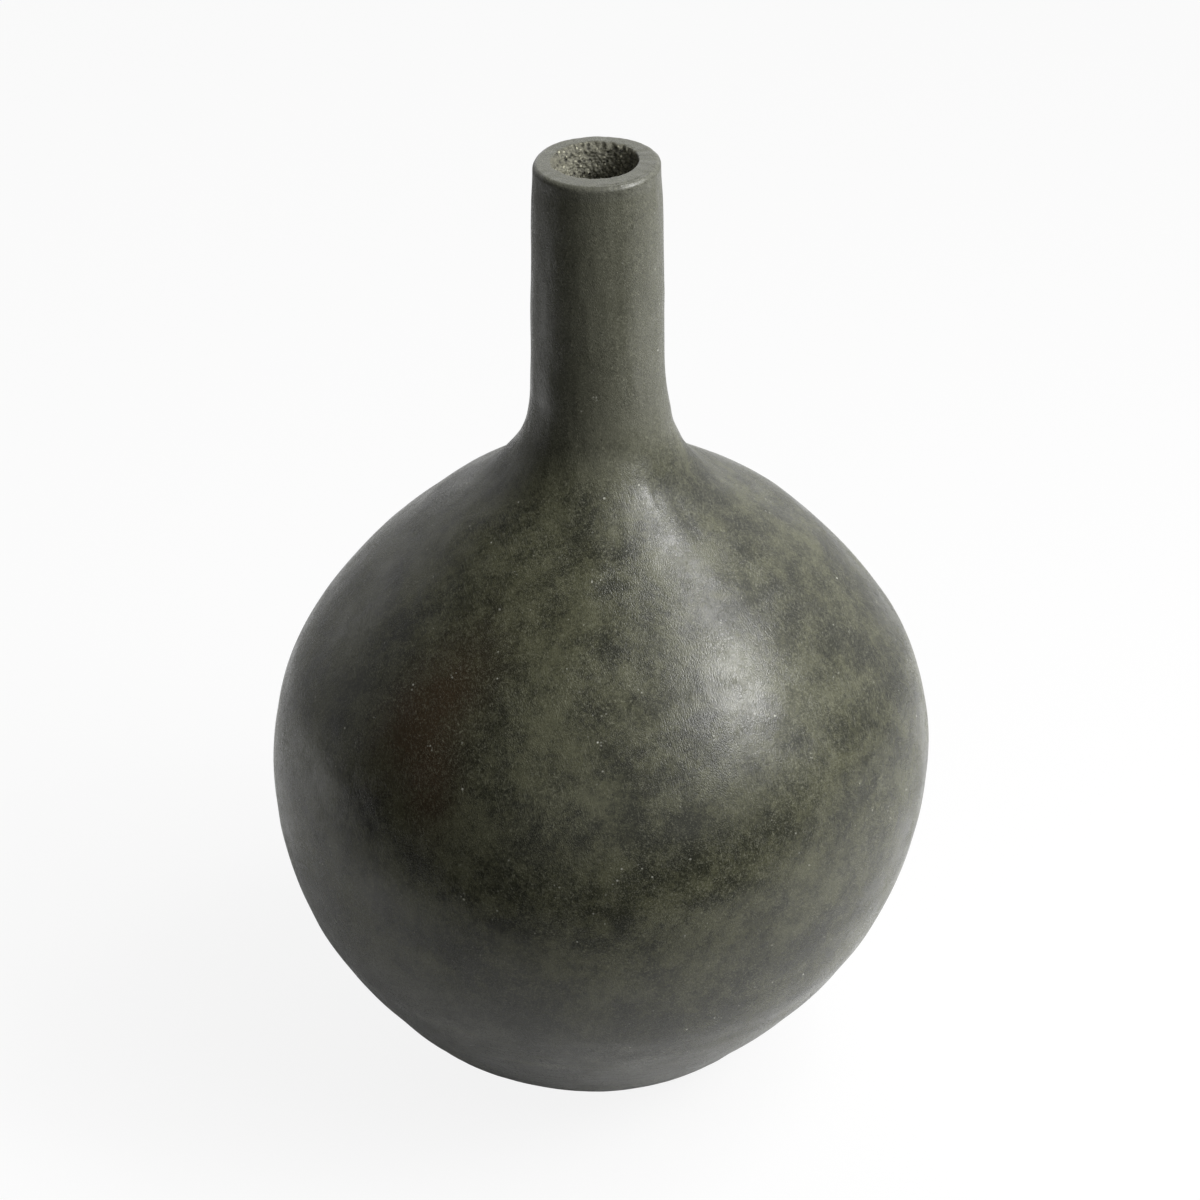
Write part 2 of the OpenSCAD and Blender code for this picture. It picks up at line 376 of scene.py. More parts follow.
# %% How the lip wears
WORN_BEARING = math.radians(-150)
WORN_SPAN = (-0.3, 0.5)
LIP_REACH = 4 * MM
LIP_LEAN = 0.5 * MM
LIP_LEFT = 0.4 * MM
LIP_BACK = 1.3 * MM
LIP_DROP = 0.7 * MM
LIP_RAGGED = 0.7 * MM
LIP_CHIPS = [(1.0, 150, MM, 5), (0.6, 64, MM, 6)]
CRISP_CHIPS = 0.1
DROP_CHIPS = 0.6
BARE_CHIPS = 0.12
BARE_FROM = 0.97
BARE_WORN = 0.36
BARE_SOFT = 0.05
BARE_BLUR = 0.1


def worn(bearing):
    """How worn the lip is: a smooth step of the cosine of the angle from the most worn place."""
    return smooth_step(np.cos(bearing - WORN_BEARING), *WORN_SPAN)


def worn_lip(points):
    """Leans the lip outwards and lowers it where it is worn, and moves it to the back and left, by
    shares that fade to nothing LIP_REACH out from the mouth and at the bottom of the coat.
    Returns the points and their bareness."""
    x, y, z = points.T
    r, turn = np.hypot(x, y), np.arctan2(y, x)
    wear = worn(bearing_of(turn))
    near = np.clip(1 - (r - MOUTH_R) / LIP_REACH, 0, 1) * (z > CAST_RIM_Z - MM / 100)
    high = np.clip((z - CAST_RIM_Z) / COAT_T, 0, 1)
    ragged = all_lumps(turn, z * 0, LIP_CHIPS)
    r2 = r + near**2 * high * (wear * LIP_LEAN + (CRISP_CHIPS + wear) * LIP_RAGGED * ragged)
    z2 = z - near**4 * high * wear * LIP_DROP * (1 + DROP_CHIPS * ragged)
    edge = BARE_FROM - wear * BARE_WORN
    bare = smooth_step(near + BARE_CHIPS * wear * ragged, edge, edge + BARE_SOFT + BARE_BLUR * wear)
    x2 = x * r2 / r - near * high * LIP_LEFT
    y2 = y * r2 / r + near * high * LIP_BACK
    return np.stack([x2, y2, z2], axis=1), bare


# %% Turn the coat
COAT_COLUMNS = 288
COAT_LUMPS = [(0.11 * MM, 44, 15 * MM, 2), (0.05 * MM, 96, 7 * MM, 3)]
STEP_BEARING = math.radians(32)
STEP_SPAN = (0.8, 0.95)
STEP_R = 25.2 * MM
STEP_W = 0.4 * MM
STEP_H = 0.25 * MM
coat_profile = chain(coat_outside, coat_inside)
turn, along = grid(coat_profile, COAT_COLUMNS)
outside = (np.arange(len(coat_profile)) < len(coat_outside))[:, None]
step = STEP_H * np.exp(-(((coat_profile[:, :1] - STEP_R) / STEP_W) ** 2))
step = step * smooth_step(np.cos(bearing_of(turn) - STEP_BEARING), *STEP_SPAN)
coat_lumps = all_lumps(turn, along, COAT_LUMPS) - step * (coat_profile[:, 1:] > RIM_Z - MM)
coat_points, coat_quads = turned(coat_profile, COAT_COLUMNS, coat_lumps * outside)
coat_points, coat_bare = worn_lip(coat_points)
coat = to_object("polished_coat", hand_made(coat_points), coat_quads)
paint(coat, "bare", coat_bare)
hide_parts("finish_coat")
print(f"the coat's profile misses its CAD box by {miss('finish_coat', coat_profile):.2f} mm")

# %% [markdown]
# ## Where the pigment and the painted light lie
#
# The colour of the coat isn't even. It is darker in some places and paler in others, and one
# patch on the left is a warm umber. Each such place is a soft leaning ellipse. One pale mark,
# on the left of the neck, is painted light: the bright band there. The neck and the rim are
# dusty, and the foot is pale grey: dust and a painted reflection of the white table. The neck
# is also paler and more even, and the hollow under it is a little dull. A brush could paint
# all this, but written down it can be changed. It goes onto the mesh's points, where the
# material reads it.

# %% Soft marks, as a bearing, a height, a length and a width in mm, a lean and an amount
DARK_MARKS = [
    (-27, 284, 16, 5, 15, 0.5),
    (-8, 300, 12, 4, -30, 0.5),
    (-38, 257, 20, 6, 40, 0.55),
    (2, 257, 13, 6, -20, 0.45),
    (-56, 248, 14, 8, 30, 0.4),
    (48, 206, 22, 6, 10, 0.5),
    (47, 256, 14, 7, -30, 0.3),
    (62, 288, 20, 5, -10, 0.15),
    (88, 250, 24, 10, 0, 0.6),
    (34, 178, 42, 9, 6, 0.45),
    (4, 196, 14, 12, 60, 0.3),
    (-47, 186, 18, 8, -30, 0.8),
    (-34, 171, 14, 6, -20, 0.8),
    (-18, 122, 40, 14, -8, 0.45),
    (4, 153, 9, 4, 80, 1.0),
    (8, 138, 8, 4, 70, 0.8),
    (-30, 128, 18, 8, -10, 0.6),
    (12, 104, 22, 7, 10, 0.5),
    (12, 82, 16, 8, 30, 0.5),
    (28, 76, 24, 7, 0, 0.5),
    (42, 77, 20, 7, 0, 0.9),
    (52, 118, 30, 12, 20, 0.4),
    (-12, 98, 60, 18, -5, 0.6),
    (-5, 66, 60, 16, 0, 0.5),
    (150, 170, 40, 18, 20, 0.5),
    (-140, 210, 34, 12, -20, 0.5),
    (170, 260, 30, 10, 10, 0.4),
]
PALE_MARKS_AND_PAINTED_LIGHT = [
    (-34, 284, 16, 6, 30, 0.5),
    (7, 292, 14, 5, 20, 0.5),
    (-26, 265, 15, 6, 15, 0.5),
    (-12, 235, 24, 9, -35, 0.35),
    (5, 228, 16, 8, 10, 0.3),
    (61, 219, 14, 6, 0, 0.5),
    (46, 226, 12, 6, 15, 0.4),
    (75, 256, 14, 6, 20, 0.4),
    (-20, 158, 18, 7, -25, 0.4),
    (22, 148, 26, 8, 15, 0.35),
    (-18, 185, 14, 8, 30, 0.35),
    (17, 162, 14, 6, 20, 0.35),
    # Painted light, not pigment: the bright band on the left of the neck.
    (-62, 370, 75, 14, 90, 0.8),
    (120, 220, 30, 10, -15, 0.5),
    (-110, 150, 36, 12, 15, 0.4),
]
UMBER_MARKS = [(-40, 224, 30, 18, 65, 1.4), (-33, 198, 20, 13, 100, 1.0)]
RISE_SHARE = 0.9


def marked(points, marks):
    """Adds up soft marks: amount * exp(-(u / long)^2 - (v / short)^2), where u runs along the mark
    and v across it, both in the surface, and the lean turns u up from the horizontal. The surface
    is taken to rise by RISE_SHARE of the way that a mark goes up it."""
    x, y, z = points.T
    bearing = np.arctan2(x, -y)
    total = np.zeros(len(points))
    for at, height, long, short, lean, amount in marks:
        apart = (bearing - math.radians(at) + math.pi) % FULL_TURN - math.pi
        across = apart * np.hypot(x, y)
        up = (z - FOOT_Z - height * MM) / RISE_SHARE
        lean = math.radians(lean)
        u = across * math.cos(lean) + up * math.sin(lean)
        v = up * math.cos(lean) - across * math.sin(lean)
        total += amount * np.exp(-((u / (long * MM)) ** 2) - (v / (short * MM)) ** 2)
    return total


# %% Paint the marks, with painted light on the left of the neck, the dust, with a painted reflection at the foot, and the dull hollow
NECK_H = (296 * MM, 335 * MM)
FOOT_H = (30 * MM, 105 * MM)
RIM_H = (437 * MM, 441 * MM)
NECK_SHADE = 0.7
NECK_DUST = 0.22
NECK_EVEN = 0.5
RIM_DUST = 0.1
# At the foot the pale grey is dust and a painted reflection of the white table.
FOOT_DUST_AND_REFLECTION = 0.9
FOOT_LEAN = 0.3
COVE_H = 297 * MM
COVE_W = 11 * MM
coat_h = coat_points[:, 2] - FOOT_Z
on_neck = smooth_step(coat_h, *NECK_H)
by_foot = 1 - smooth_step(coat_h + FOOT_LEAN * coat_points[:, 0], *FOOT_H)
# The marks are pigment, apart from the pale one on the left of the neck, which is painted light.
marks_and_painted_light = marked(coat_points, PALE_MARKS_AND_PAINTED_LIGHT) - marked(coat_points, DARK_MARKS)
paint(coat, "tone_and_painted_light", marks_and_painted_light + NECK_SHADE * on_neck)
paint(coat, "umber", marked(coat_points, UMBER_MARKS))
paint(coat, "even", NECK_EVEN * on_neck)
paint(coat, "dull", np.exp(-(((coat_h - COVE_H) / COVE_W) ** 2)))
paint(coat, "dust_and_reflection", NECK_DUST * on_neck + RIM_DUST * smooth_step(coat_h, *RIM_H) + FOOT_DUST_AND_REFLECTION * by_foot)

# %% [markdown]
# ## The cast core
#
# Below the coat lie the two shells with their lapped joint, the bond in that joint, the jute
# band behind it, the neck and the plaster round its root. The solids of the frame could stay
# as they are, but then the bent coat wouldn't fit them. So they are turned again from the same
# arcs and bent by the same field, with wide steps, because hardly anything of them is seen.

# %% Places in the joints
LAP_X = BELLY_R - COAT_T - WALL_T / 2
TONGUE_X = LAP_X - BOND_T / 2
SKIRT_X = LAP_X + BOND_T / 2
SKIRT_Z = BELLY_Z + BOND_T
TONGUE_Z = BELLY_Z + LAP_H
LEDGE_Z = TONGUE_Z + BOND_T
SCRIM_LOW_Z = BELLY_Z - SCRIM_W / 2
SCRIM_HIGH_Z = BELLY_Z + SCRIM_W / 2
COLLAR_X = SPIGOT_R + BOND_T
NECK_Z = SEAT_Z + BOND_T
SPIGOT_Z = SHOULDER_Z + (SHOULDER_R - CAVITY) * math.sin(shoulder_angle(CAVITY, COLLAR_X))
FLOOR_Z = FOOT_Z + BASE_T
CORE_STEP = 5 * MM
CORE_COLUMNS = 180

# %% Profiles of the core
shell_profiles = {
    "lower_shell": chain(
        [[0, FOOT_Z]],
        lower_arc(COAT_T, FOOT_Z, BELLY_Z, CORE_STEP),
        [[TONGUE_X, BELLY_Z], [TONGUE_X, TONGUE_Z]],
        turn_arc(CAVITY, BELLY_Z, TONGUE_Z, CORE_STEP)[::-1],
        lower_arc(CAVITY, FLOOR_Z, BELLY_Z, CORE_STEP)[::-1],
        [[0, FLOOR_Z]],
    ),
    "upper_shell": chain(
        turn_arc(COAT_T, SKIRT_Z, None, CORE_STEP),
        shoulder_arc(COAT_T, TURN_ANGLE, shoulder_angle(COAT_T, NECK_X), CORE_STEP),
        [[COLLAR_X, SEAT_Z]],
        shoulder_arc(CAVITY, TURN_ANGLE, shoulder_angle(CAVITY, COLLAR_X), CORE_STEP)[::-1],
        turn_arc(CAVITY, LEDGE_Z, None, CORE_STEP)[::-1],
        [[SKIRT_X, LEDGE_Z], [SKIRT_X, SKIRT_Z]],
    ),
    "seam_bond": chain(
        turn_arc(COAT_T, BELLY_Z, SKIRT_Z, CORE_STEP),
        [[SKIRT_X, SKIRT_Z], [SKIRT_X, LEDGE_Z]],
        turn_arc(CAVITY, TONGUE_Z, LEDGE_Z, CORE_STEP)[::-1],
        [[TONGUE_X, TONGUE_Z], [TONGUE_X, BELLY_Z]],
    ),
    "seam_scrim": chain(
        lower_arc(CAVITY, SCRIM_LOW_Z, BELLY_Z, CORE_STEP),
        turn_arc(CAVITY, BELLY_Z, SCRIM_HIGH_Z, CORE_STEP),
        turn_arc(CAVITY + SCRIM_T, BELLY_Z, SCRIM_HIGH_Z, CORE_STEP)[::-1],
        lower_arc(CAVITY + SCRIM_T, SCRIM_LOW_Z, BELLY_Z, CORE_STEP)[::-1],
    ),
    "neck_cove": chain(
        [[SPIGOT_R, SPIGOT_Z], [COLLAR_X, SPIGOT_Z], [COLLAR_X, SEAT_Z]],
        shoulder_arc(COAT_T, COVE_ANGLE, shoulder_angle(COAT_T, NECK_X), CORE_STEP)[::-1],
        cove_arc(COAT_T, CORE_STEP),
        [[NECK_X, NECK_Z], [SPIGOT_R, NECK_Z]],
    ),
}

# %% Turn the core
core = {}
for node, profile in shell_profiles.items():
    points, quads = turned(profile, CORE_COLUMNS)
    core[node] = to_object("inner_" + node, hand_made(points), quads, touches_axis=True)
    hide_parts(node)
    print(f"{node}'s profile misses its CAD box by {miss(node, profile):.2f} mm")

# %% [markdown]
# ## The neck and its bare bore
#
# The neck is cast, and its bore was never finished: it is pecked and granular, with a flare
# at the mouth. Bump in the material would leave the wall smooth where it is seen edge on, so
# the grains and peck marks are real lumps in the mesh. Only the top of the bore can be seen,
# so that is where the points lie close together.

# %% The profile of the neck
BORE_SEEN = 34 * MM
BORE_TOP_Z = CAST_RIM_Z - FUNNEL_H
SMOOTH_Z = BORE_TOP_Z - BORE_SEEN
neck_profile = chain(
    [[SPIGOT_R, SPIGOT_Z], [SPIGOT_R, NECK_Z]],
    line((NECK_X, NECK_Z), (NECK_X, COVE_Z), HIDDEN),
    line((NECK_X, COVE_Z), (NECK_TOP_X, CAST_RIM_Z), HIDDEN),
    line((MOUTH_R, CAST_RIM_Z), (BORE_R, BORE_TOP_Z), 0.3 * MM),
    line((BORE_R, BORE_TOP_Z), (BORE_R, SMOOTH_Z), 0.4 * MM),
    line((BORE_R, SMOOTH_Z), (BORE_R, SPIGOT_Z), HIDDEN),
)

# %% Turn the neck
NECK_COLUMNS = 320
BORE_LUMPS = [(0.4 * MM, 120, 0.7 * MM, 7), (0.4 * MM, 52, 1.9 * MM, 8)]
LUMPS_FADE = 8 * MM
turn, along = grid(neck_profile, NECK_COLUMNS)
r, z = neck_profile[:, :1], neck_profile[:, 1:]
in_bore = (r < MOUTH_R - MM / 100) * smooth_step(z, SMOOTH_Z, SMOOTH_Z + LUMPS_FADE)
bore_lumps = all_lumps(turn, along, BORE_LUMPS) * in_bore
neck_points, neck_quads = turned(neck_profile, NECK_COLUMNS, bore_lumps)
neck = to_object("bare_neck", hand_made(neck_points), neck_quads)
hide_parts("neck_tube")
print(f"the neck's profile misses its CAD box by {miss('neck_tube', neck_profile):.2f} mm")

# %% Everything is bonded, so every piece rides on the one body
for piece in [coat, neck, *core.values()]:
    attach(piece, "root")

# %% [markdown]
# ## Building materials out of nodes
#
# A material could be put together by hand in the shader editor. Written down, it can be read
# and changed, and a few helpers keep it short: one adds a node and fills its inputs, and the
# others add the small sums and colour mixes. Effects that several materials share are node
# groups.

# %% Helpers for node trees
def add(tree, kind, inputs=None, **settings):
    """Adds a node, sets its settings, and fills its inputs with values or other nodes' outputs."""
    made = tree.nodes.new("ShaderNode" + kind)
    for key, value in settings.items():
        setattr(made, key, value)
    for key, value in (inputs or {}).items():
        if isinstance(value, bpy.types.NodeSocket):
            tree.links.new(value, made.inputs[key])
        else:
            made.inputs[key].default_value = value
    return made


def maths(tree, operation, *values, clamp=False):
    """A Math node, and its output: the operation on one, two or three values."""
    return add(tree, "Math", dict(enumerate(values)), operation=operation, use_clamp=clamp).outputs[0]


def times(tree, a, b, clamp=False):
    """a * b, kept within 0 and 1 if clamp is set."""
    return maths(tree, "MULTIPLY", a, b, clamp=clamp)


def times_plus(tree, a, b, c, clamp=False):
    """a * b + c, kept within 0 and 1 if clamp is set."""
    return maths(tree, "MULTIPLY_ADD", a, b, c, clamp=clamp)


def colour_mix(tree, share, first, second):
    """Mixes two colours: the share of the second one over the first."""
    return add(tree, "Mix", {0: share, 6: first, 7: second}, data_type="RGBA").outputs[2]


def ramp(tree, value, low, high, start=0.0, end=1.0):
    """A smooth step from start to end, as the value goes from low to high."""
    sockets = {"Value": value, "From Min": low, "From Max": high, "To Min": start, "To Max": end}
    return add(tree, "MapRange", sockets, interpolation_type="SMOOTHSTEP").outputs["Result"]


def noise(tree, vector, scale, detail, roughness):
    """A Noise Texture, and its value, which runs from 0 to 1 and is mostly near a half."""
    sockets = {"Vector": vector, "Scale": scale, "Detail": detail, "Roughness": roughness}
    return add(tree, "TexNoise", sockets).outputs["Fac"]


def stretched(tree, vector, *lengths):
    """Divides a vector by a length for each axis, so that what is drawn there gets those lengths."""
    divisor = add(tree, "CombineXYZ", dict(zip("XYZ", lengths))).outputs[0]
    return add(tree, "VectorMath", {0: vector, 1: divisor}, operation="DIVIDE").outputs[0]


# %% Helpers for node groups
VECTOR = ("Vector", "Vector", None)


def new_group(name, inputs, outputs):
    """An empty node group with named inputs and outputs: returns its tree and the two ends' sockets."""
    tree = bpy.data.node_groups.new(name, "ShaderNodeTree")
    for label, kind, value in inputs:
        socket = tree.interface.new_socket(label, in_out="INPUT", socket_type="NodeSocket" + kind)
        if value is not None:
            socket.default_value = value
    for label, kind in outputs:
        tree.interface.new_socket(label, in_out="OUTPUT", socket_type="NodeSocket" + kind)
    return tree, tree.nodes.new("NodeGroupInput").outputs, tree.nodes.new("NodeGroupOutput").inputs


def place(tree, group, vector, **inputs):
    """Places a node group in a tree, with its own values, and returns its outputs."""
    return add(tree, "Group", {"Vector": vector, **inputs}, node_tree=group).outputs


# %% [markdown]
# ## The shared effects
#
# Plaster that is rubbed by hand shows clouds where more or less of the pigment stayed, sand
# that lightens single grains, small pits, and marks of the burnishing stone and the trowel.
# Pictures of real plaster could be wrapped around the vase, but noise in the object's own
# space has no seams, and every size in it can be set. Sizes go in as metres, so that each
# material can give real ones.

# %% Clouds: noise with a size, a contrast and a bias
clouds, ins, outs = new_group(
    "clouds",
    [
        VECTOR,
        ("Size", "Float", 0.05),
        ("Detail", "Float", 3.0),
        ("Roughness", "Float", 0.6),
        ("Contrast", "Float", 2.0),
        ("Bias", "Float", 0.0),
    ],
    [("Mask", "Float")],
)
scale = maths(clouds, "DIVIDE", 1.0, ins["Size"])
level = noise(clouds, ins["Vector"], scale, ins["Detail"], ins["Roughness"])
level = times_plus(clouds, maths(clouds, "SUBTRACT", level, 0.5), ins["Contrast"], 0.5)
clouds.links.new(maths(clouds, "ADD", level, ins["Bias"], clamp=True), outs["Mask"])

# %% Fine sand: noise from -1 to 1
sand, ins, outs = new_group("fine_sand", [VECTOR, ("Size", "Float", 0.001)], [("Tone", "Float")])
scale = maths(sand, "DIVIDE", 1.0, ins["Size"])
level = noise(sand, ins["Vector"], scale, 2.0, 0.7)
sand.links.new(times_plus(sand, level, 2.0, -1.0), outs["Tone"])

# %% Single grains and pits: soft dots in a share of the cells, each with a strength of its own
grit, ins, outs = new_group(
    "single_grains",
    [VECTOR, ("Spacing", "Float", 0.004), ("Radius", "Float", 0.0004), ("Share", "Float", 0.3)],
    [("Mask", "Float")],
)
scale = maths(grit, "DIVIDE", 1.0, ins["Spacing"])
cells = add(grit, "TexVoronoi", {"Vector": ins["Vector"], "Scale": scale}).outputs
draw = add(grit, "SeparateColor", {"Color": cells["Color"]}).outputs
kept = maths(grit, "LESS_THAN", draw["Red"], ins["Share"])
kept = times(grit, kept, times_plus(grit, draw["Green"], 0.7, 0.3))
reach = maths(grit, "DIVIDE", ins["Radius"], ins["Spacing"])
dot = ramp(grit, cells["Distance"], times(grit, reach, 0.4), reach, 1.0, 0.0)
grit.links.new(times(grit, dot, kept), outs["Mask"])

# %% Marks of the burnishing stone: noise drawn out one way, after a lean
strokes, ins, outs = new_group(
    "burnishing_strokes",
    [VECTOR, ("Lean", "Vector", None), ("Length", "Float", 0.01), ("Width", "Float", 0.0006)],
    [("Height", "Float"), ("Mask", "Float")],
)
sockets = {"Vector": ins["Vector"], "Rotation": ins["Lean"]}
leaning = add(strokes, "VectorRotate", sockets, rotation_type="EULER_XYZ").outputs[0]
drawn = stretched(strokes, leaning, ins["Width"], ins["Width"], ins["Length"])
level = noise(strokes, drawn, 1.0, 1.0, 0.5)
strokes.links.new(level, outs["Height"])
strokes.links.new(ramp(strokes, level, 0.62, 0.72), outs["Mask"])

# %% Rings left by the trowel: noise that is long around the vase and narrow upwards
rings, ins, outs = new_group(
    "trowel_rings",
    [VECTOR, ("Length", "Float", 0.05), ("Width", "Float", 0.003)],
    [("Height", "Float"), ("Mask", "Float")],
)
drawn = stretched(rings, ins["Vector"], ins["Length"], ins["Length"], ins["Width"])
level = noise(rings, drawn, 1.0, 3.0, 0.7)
rings.links.new(level, outs["Height"])
rings.links.new(ramp(rings, level, 0.5, 0.7), outs["Mask"])

# %% Bare plaster: patches, sand, bright grains and holes, with painted shade in the holes
CAST_COLOUR = (0.17, 0.165, 0.125, 1)
SAND_RISE = 0.2 * MM
GRAIN_RISE = 0.3 * MM
HOLE_DEPTH = 0.4 * MM
bare_plaster, ins, outs = new_group(
    "bare_plaster", [VECTOR, ("Color", "Color", CAST_COLOUR)], [("Color", "Color"), ("Height", "Float")]
)
spot = ins["Vector"]
patches = place(bare_plaster, clouds, spot, Size=0.012, Contrast=2.2)["Mask"]
grains = place(bare_plaster, sand, spot, Size=0.0013)["Tone"]
bright = place(bare_plaster, grit, spot, Spacing=0.0018, Radius=0.0007, Share=0.4)["Mask"]
holes = place(bare_plaster, grit, spot, Spacing=0.0026, Radius=0.0011, Share=0.6)["Mask"]
tone = times_plus(bare_plaster, patches, 0.5, 0.62)
tone = times_plus(bare_plaster, grains, 1.2, tone)
tone = times_plus(bare_plaster, bright, 2.6, tone)
# Painted shade: the holes are darkened in the colour.
tone = times(bare_plaster, tone, times_plus(bare_plaster, holes, -0.9, 1.0))
tone = maths(bare_plaster, "MAXIMUM", tone, 0.08)
shaded = add(bare_plaster, "VectorMath", {0: ins["Color"], "Scale": tone}, operation="SCALE").outputs[0]
bare_plaster.links.new(shaded, outs["Color"])
height = times(bare_plaster, grains, SAND_RISE)
height = times_plus(bare_plaster, holes, -HOLE_DEPTH, height)
bare_plaster.links.new(times_plus(bare_plaster, bright, GRAIN_RISE, height), outs["Height"])
print("shared effects:", ", ".join(group.name for group in bpy.data.node_groups))

# %% [markdown]
# ## The polished finish
#
# Each material is one Principled shader. What changes over the surface comes from the shared
# effects, and what is the same everywhere is set on the shader's own sockets.
#
# The polished plaster is pigment over pigment: charcoal under olive, then umber, dust, sand
# and specks, and at the foot a painted reflection of the white table in the dust's grey. Two
# colours mixed by one noise would look printed, so each layer has a size of its own. The gloss
# follows the same masks: it is duller where olive, dust and sand lie, and the scuffs of the
# stone break up the highlight.

# %% A new material
def new_material(name):
    """A material, its node tree, its shader's inputs and its place in the object's own frame."""
    material = bpy.data.materials.new(name)
    material.use_nodes = True
    tree = material.node_tree
    return material, tree, tree.nodes["Principled BSDF"].inputs, add(tree, "TexCoord").outputs["Object"]


def relief(tree, shader, height):
    """Feeds a height in metres to the shader's normal."""
    bump = add(tree, "Bump", {"Height": height, "Strength": 1.0, "Distance": 1.0})
    tree.links.new(bump.outputs["Normal"], shader["Normal"])


# %% The colours of the polished plaster, and what was painted on its points
OLIVE = (0.100, 0.101, 0.061, 1)
CHARCOAL = (0.026, 0.027, 0.018, 1)
UMBER = (0.058, 0.041, 0.024, 1)
# The pale grey below is dust on the neck and the rim, and at the foot also a painted reflection of the
# white table.
DUST_AND_REFLECTION_GREY = (0.150, 0.150, 0.150, 1)
SAND = (0.30, 0.30, 0.22, 1)
SPARK = (0.62, 0.62, 0.54, 1)
polished, tree, shader, spot = new_material("polished_plaster")
bare, tone_and_painted_light, umber, dust_and_reflection, even, dull = (
    add(tree, "Attribute", attribute_name=name).outputs["Fac"]
    for name in ("bare", "tone_and_painted_light", "umber", "dust_and_reflection", "even", "dull")
)

# %% The mottled ground: 0 where charcoal shows, 1 where olive does
EVEN_LEVEL = 0.78
mottled = place(tree, clouds, spot, Size=0.07, Detail=8.0, Roughness=1.0, Contrast=4.2, Bias=0.02)["Mask"]
blotches = place(tree, clouds, spot, Size=0.022, Detail=2.0, Contrast=2.6)["Mask"]
mottled = maths(tree, "ADD", mottled, times_plus(tree, blotches, 0.4, -0.2))
# The marks darken and lighten the ground; on the left of the neck this is painted light.
mottled = times_plus(tree, tone_and_painted_light, 0.45, mottled)
mottled = times_plus(tree, maths(tree, "SUBTRACT", EVEN_LEVEL, mottled), even, mottled)
tone = ramp(tree, mottled, 0.05, 1.0)
colour = colour_mix(tree, tone, CHARCOAL, OLIVE)
warm = times(tree, umber, times_plus(tree, tone, -0.4, 1.0), clamp=True)
colour = colour_mix(tree, warm, colour, UMBER)
# Pale grey where the dust mask lies; at the foot it is also a painted reflection of the table.
dust_and_reflection_share = times(tree, dust_and_reflection, times_plus(tree, mottled, 0.7, 0.5), clamp=True)
colour = colour_mix(tree, dust_and_reflection_share, colour, DUST_AND_REFLECTION_GREY)

# %% Sand, in clusters
grains = place(tree, sand, spot, Size=0.0012)["Tone"]
clusters = place(tree, clouds, spot, Size=0.03, Detail=2.0, Contrast=6.0, Bias=-0.1)["Mask"]
clusters = times_plus(tree, tone_and_painted_light, 0.5, clusters, clamp=True)
strewn = times_plus(tree, clusters, 0.75, 0.25)
light = times(tree, ramp(tree, grains, 0.05, 0.6), strewn)
colour = colour_mix(tree, times(tree, light, 0.54), colour, SAND)
dark = times(tree, ramp(tree, grains, -0.05, -0.55), 0.55)
colour = colour_mix(tree, dark, colour, CHARCOAL)

# %% White specks, alone and in small groups, and pits
sparks = place(tree, grit, spot, Spacing=0.0075, Radius=0.0007, Share=0.25)["Mask"]
flecks = place(tree, grit, spot, Spacing=0.0018, Radius=0.0006, Share=0.5)["Mask"]
groups = place(tree, clouds, spot, Size=0.008, Detail=1.0, Contrast=9.0, Bias=-1.8)["Mask"]
sparks = maths(tree, "MAXIMUM", sparks, times(tree, flecks, groups))
colour = colour_mix(tree, times(tree, sparks, 0.9), colour, SPARK)
pits = place(tree, grit, spot, Spacing=0.0052, Radius=0.0007, Share=0.15)["Mask"]
colour = colour_mix(tree, times(tree, pits, 0.7), colour, CHARCOAL)

# %% Marks of the stone, as leans and the size of the patches that each lean comes in
LEANS = [((0.5, 0.25, 0), 0.021), ((-0.7, 0.5, 0.6), 0.024), ((1.25, 0.2, -0.4), 0.028)]
SAND_RELIEF = 0.025 * MM
STROKE_RELIEF = 0.14 * MM
height = times(tree, grains, SAND_RELIEF)
scuffed = 0.0
for lean, patch in LEANS:
    rubbed = place(tree, strokes, spot, Lean=lean, Length=0.0045, Width=0.0005)
    patches = place(tree, clouds, spot, Size=patch, Contrast=5.0, Bias=-0.15)["Mask"]
    patches = times_plus(tree, patches, 0.8, 0.2)
    height = times_plus(tree, times(tree, rubbed["Height"], patches), STROKE_RELIEF, height)
    dulled = times(tree, ramp(tree, rubbed["Height"], 0.46, 0.64), patches)
    scuffed = maths(tree, "MAXIMUM", scuffed, dulled)
    colour = colour_mix(tree, times(tree, rubbed["Mask"], 0.2), colour, SAND)

# %% Rings near the foot, dimples and pits
RING_RELIEF = 0.6 * MM
DIMPLE_RELIEF = 0.12 * MM
PIT_DEPTH = 0.08 * MM
ringed = place(tree, rings, spot, Length=0.05, Width=0.0035)
low_down = maths(tree, "POWER", dust_and_reflection, 2.0)
height = times_plus(tree, times(tree, ringed["Height"], low_down), RING_RELIEF, height)
streaked = times(tree, times(tree, ringed["Mask"], low_down), 0.25)
colour = colour_mix(tree, streaked, colour, SAND)
dimples = place(tree, clouds, spot, Size=0.009, Detail=1.0, Contrast=1.0)["Mask"]
height = times_plus(tree, dimples, DIMPLE_RELIEF, height)
height = times_plus(tree, pits, -PIT_DEPTH, height)

